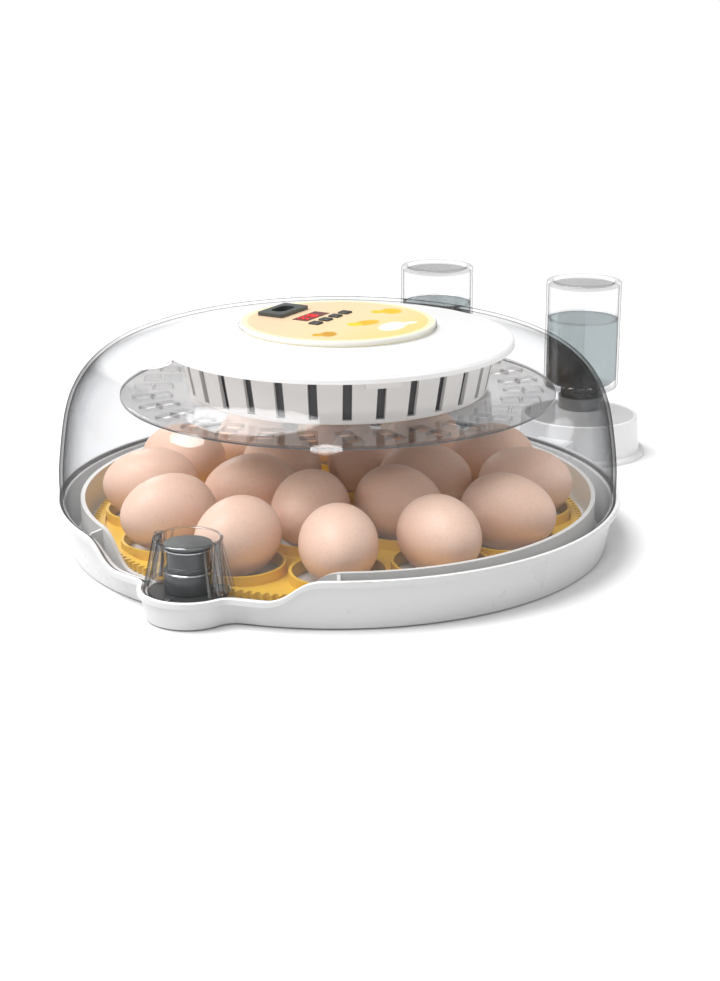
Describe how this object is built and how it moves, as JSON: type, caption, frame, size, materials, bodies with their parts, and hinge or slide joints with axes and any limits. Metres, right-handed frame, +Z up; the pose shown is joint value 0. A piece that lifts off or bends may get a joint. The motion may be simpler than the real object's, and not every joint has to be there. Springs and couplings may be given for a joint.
{
  "type": "egg incubator",
  "caption": "Round tabletop egg incubator with a clear dome lid, white water tray, geared egg turner, fan and heater hub, control panel, and side bottles on water cups.",
  "frame": {"origin": "middle of the tray, on the plane that its rubber feet and the bottle cups stand on", "axes": "+Z up; -Y is the side from which the control panel reads upright; the turner motor is towards -X and the bottles are towards +X"},
  "size_m": [0.4475, 0.32, 0.127],
  "materials": {
    "white_plastic": "smooth moulded, semi-gloss",
    "clear_plastic": "polished transparent moulding with a faint smoky tint",
    "yellow_plastic": "satin moulded, golden yellow",
    "egg_shell": "fine-pored eggshell",
    "water": "still water",
    "motor_metal": "dark grey gloss lacquer",
    "steel": "turned and polished",
    "dark_plastic": "fine satin",
    "black_rubber": "soft matt",
    "panel_print": "printed film, cream to yellow",
    "red_window": "dark red filter",
    "circuit_green": "solder-masked laminate",
    "heater_ceramic": "unglazed",
    "contact_brass": "bright"
  },
  "bodies": {
    "tray": {"base_tray": "white_plastic", "rubber_feet": "black_rubber", "egg_basin": "white_plastic", "hub_pin": "steel", "motor_bracket": "dark_plastic", "bracket_screws": "steel", "gearbox": "motor_metal", "motor_can": "motor_metal", "motor_cap": "dark_plastic", "front_bottle_seat": "white_plastic", "back_bottle_seat": "white_plastic"},
    "lid": {"dome": "clear_plastic", "top_cover": "white_plastic", "hub_grille": "white_plastic", "grille_clips": "white_plastic", "air_guide_plate": "clear_plastic", "fan_guard": "white_plastic", "hub_screws": "steel", "fan_frame": "dark_plastic", "fan_motor": "dark_plastic", "heater_ring": "steel", "heater_posts": "heater_ceramic", "climate_sensor": "dark_plastic", "circuit_board": "circuit_green", "power_supply": "dark_plastic", "button_switches": "dark_plastic", "display_module": "dark_plastic", "display_window": "red_window", "control_panel": "panel_print", "power_inlet": "dark_plastic", "inlet_pins": "contact_brass"},
    "fan": {"fan_rotor": "dark_plastic"},
    "turner": {"turner_ring": "yellow_plastic"},
    "pinion": {"drive_pinion": "yellow_plastic", "pinion_shaft": "steel"},
    "eggs": {"eggs_outer_ring": "egg_shell", "eggs_inner_ring": "egg_shell"},
    "light_button": {"light_button": "dark_plastic"},
    "up_button": {"up_button": "dark_plastic"},
    "down_button": {"down_button": "dark_plastic"},
    "menu_button": {"menu_button": "dark_plastic"},
    "front_bottle": {"front_bottle": "clear_plastic", "front_bottle_cap": "white_plastic", "front_bottle_water": "water", "front_valve_spring": "steel", "front_spring_bar": "white_plastic"},
    "front_valve": {"front_valve_stem": "dark_plastic"},
    "back_bottle": {"back_bottle": "clear_plastic", "back_bottle_cap": "white_plastic", "back_bottle_water": "water", "back_valve_spring": "steel", "back_spring_bar": "white_plastic"},
    "back_valve": {"back_valve_stem": "dark_plastic"}
  },
  "joints": [
    {"name": "lid_lift", "type": "slide", "parent": "tray", "child": "lid", "axis": [0, 0, 1], "range_m": [0, 0.15]},
    {"name": "fan_spin", "type": "hinge", "parent": "lid", "child": "fan", "pos_m": [0, 0, 0.097], "axis": [0, 0, 1], "continuous": true},
    {"name": "turner_spin", "type": "hinge", "parent": "tray", "child": "turner", "pos_m": [0, 0, 0.0101], "axis": [0, 0, 1], "continuous": true},
    {"name": "pinion_spin", "type": "hinge", "parent": "tray", "child": "pinion", "pos_m": [-0.1515, 0, 0.0101], "axis": [0, 0, 1], "continuous": true},
    {"name": "eggs_lift", "type": "slide", "parent": "turner", "child": "eggs", "axis": [0, 0, 1], "range_m": [0, 0.02]},
    {"name": "light_button_press", "type": "slide", "parent": "lid", "child": "light_button", "axis": [0, 0, -1], "range_m": [0, 0.0008], "stiffness_N_per_m": 400},
    {"name": "up_button_press", "type": "slide", "parent": "lid", "child": "up_button", "axis": [0, 0, -1], "range_m": [0, 0.0008], "stiffness_N_per_m": 400},
    {"name": "down_button_press", "type": "slide", "parent": "lid", "child": "down_button", "axis": [0, 0, -1], "range_m": [0, 0.0008], "stiffness_N_per_m": 400},
    {"name": "menu_button_press", "type": "slide", "parent": "lid", "child": "menu_button", "axis": [0, 0, -1], "range_m": [0, 0.0008], "stiffness_N_per_m": 400},
    {"name": "front_bottle_lift", "type": "slide", "parent": "tray", "child": "front_bottle", "axis": [0, 0, 1], "range_m": [0, 0.08]},
    {"name": "front_valve_press", "type": "slide", "parent": "front_bottle", "child": "front_valve", "axis": [0, 0, 1], "range_m": [0, 0.002], "stiffness_N_per_m": 300, "springref_m": -0.002, "deforming": ["front_valve_spring"]},
    {"name": "back_bottle_lift", "type": "slide", "parent": "tray", "child": "back_bottle", "axis": [0, 0, 1], "range_m": [0, 0.08]},
    {"name": "back_valve_press", "type": "slide", "parent": "back_bottle", "child": "back_valve", "axis": [0, 0, 1], "range_m": [0, 0.002], "stiffness_N_per_m": 300, "springref_m": -0.002, "deforming": ["back_valve_spring"]}
  ],
  "couplings": [
    {"joint": "pinion_spin", "follows": "turner_spin", "ratio": -10.222}
  ]
}
